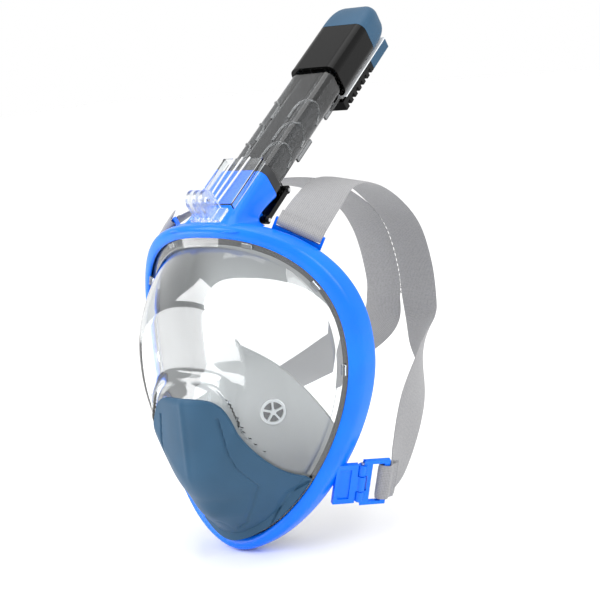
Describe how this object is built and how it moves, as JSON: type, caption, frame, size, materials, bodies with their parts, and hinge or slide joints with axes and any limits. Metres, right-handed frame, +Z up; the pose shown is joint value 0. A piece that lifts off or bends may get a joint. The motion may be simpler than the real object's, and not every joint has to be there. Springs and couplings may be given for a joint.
{
  "type": "full face snorkel mask",
  "caption": "Full-face snorkel mask with a clear lens, a blue frame, a folding dry-top snorkel, an action camera mount and an elastic head harness.",
  "frame": {"origin": "middle of the face opening, which the wearer's face holds", "axes": "+Z up the face, -Y the way the wearer looks, +X to the wearer's left"},
  "size_m": [0.2108, 0.3085, 0.396],
  "materials": {
    "blue_plastic": "satin moulded ABS, bright blue",
    "navy_plastic": "matt moulded ABS, slate navy",
    "black_plastic": "gloss moulded ABS, black",
    "clear_plastic": "polished clear polycarbonate",
    "smoked_plastic": "smoked clear polycarbonate",
    "clear_silicone": "clear silicone",
    "grey_silicone": "liquid silicone, light grey, satin",
    "black_rubber": "moulded rubber",
    "grey_webbing": "fine woven elastic webbing",
    "steel": "stainless steel"
  },
  "bodies": {
    "mask": {"frame_front": "blue_plastic", "frame_rear_clamp": "blue_plastic", "lens_gasket": "black_rubber", "lens": "clear_plastic", "lens_clip_1": "clear_plastic", "lens_clip_2": "clear_plastic", "lens_clip_3": "clear_plastic", "lens_clip_4": "clear_plastic", "lens_clip_5": "clear_plastic", "lens_clip_6": "clear_plastic", "face_skirt": "grey_silicone", "nose_pocket": "grey_silicone", "inhale_valve_seat_left": "clear_plastic", "inhale_valve_seat_right": "clear_plastic", "chin_cover": "navy_plastic", "drain_valve_seat": "clear_plastic", "neck_cover": "clear_plastic", "camera_mount": "clear_plastic", "socket_gasket": "black_rubber", "hinge_pin_lower": "steel", "lower_buckle_pin_left": "steel", "lower_buckle_pin_right": "steel", "upper_strap_clip_left": "blue_plastic", "upper_strap_clip_right": "blue_plastic", "upper_strap_clip_screw_left": "steel", "upper_strap_clip_screw_right": "steel", "head_strap_left": "grey_webbing", "head_strap_right": "grey_webbing"},
    "hinge_link": {"hinge_link": "black_plastic"},
    "snorkel": {"hinge_pin_upper": "steel", "snorkel_tube": "smoked_plastic", "head_body": "black_plastic", "float_valve_plate": "navy_plastic", "top_cap": "navy_plastic", "head_seam_gasket": "clear_silicone", "head_rear_cover": "navy_plastic", "head_rear_grille": "black_plastic"},
    "float": {"dry_float": "navy_plastic", "float_seal": "black_rubber"},
    "buckle_left": {"lower_buckle_left": "blue_plastic"},
    "buckle_right": {"lower_buckle_right": "blue_plastic"},
    "inhale_flap_left": {"inhale_valve_flap_left": "grey_silicone"},
    "inhale_flap_right": {"inhale_valve_flap_right": "grey_silicone"},
    "drain_flap": {"drain_valve_flap": "grey_silicone"}
  },
  "joints": [
    {"name": "hinge_link_swing", "type": "hinge", "parent": "mask", "child": "hinge_link", "pos_m": [0, 0.02987, 0.12256], "axis": [-1, 0, 0], "range_deg": [0, 10]},
    {"name": "snorkel_fold", "type": "hinge", "parent": "hinge_link", "child": "snorkel", "pos_m": [0, 0.05838, 0.14107], "axis": [-1, 0, 0], "range_deg": [0, 105], "deforming": ["head_strap_left", "head_strap_right"]},
    {"name": "float_slide", "type": "slide", "parent": "snorkel", "child": "float", "axis": [0, 0.8387, 0.5446], "range_m": [0, 0.009]},
    {"name": "buckle_left_swivel", "type": "hinge", "parent": "mask", "child": "buckle_left", "pos_m": [0.08558, 0.02283, -0.07502], "axis": [0.2933, -0.0594, 0.9542], "range_deg": [-35, 35]},
    {"name": "buckle_right_swivel", "type": "hinge", "parent": "mask", "child": "buckle_right", "pos_m": [-0.08558, 0.02283, -0.07502], "axis": [0.2933, 0.0594, -0.9542], "range_deg": [-35, 35]},
    {"name": "inhale_flap_left_lift", "type": "slide", "parent": "mask", "child": "inhale_flap_left", "axis": [-0.7424, 0.67, 0], "range_m": [0, 0.0012], "stiffness_N_per_m": 100},
    {"name": "inhale_flap_right_lift", "type": "slide", "parent": "mask", "child": "inhale_flap_right", "axis": [0.7424, 0.67, 0], "range_m": [0, 0.0012], "stiffness_N_per_m": 100},
    {"name": "drain_flap_lift", "type": "slide", "parent": "mask", "child": "drain_flap", "axis": [0, -1, 0], "range_m": [0, 0.001], "stiffness_N_per_m": 100}
  ]
}
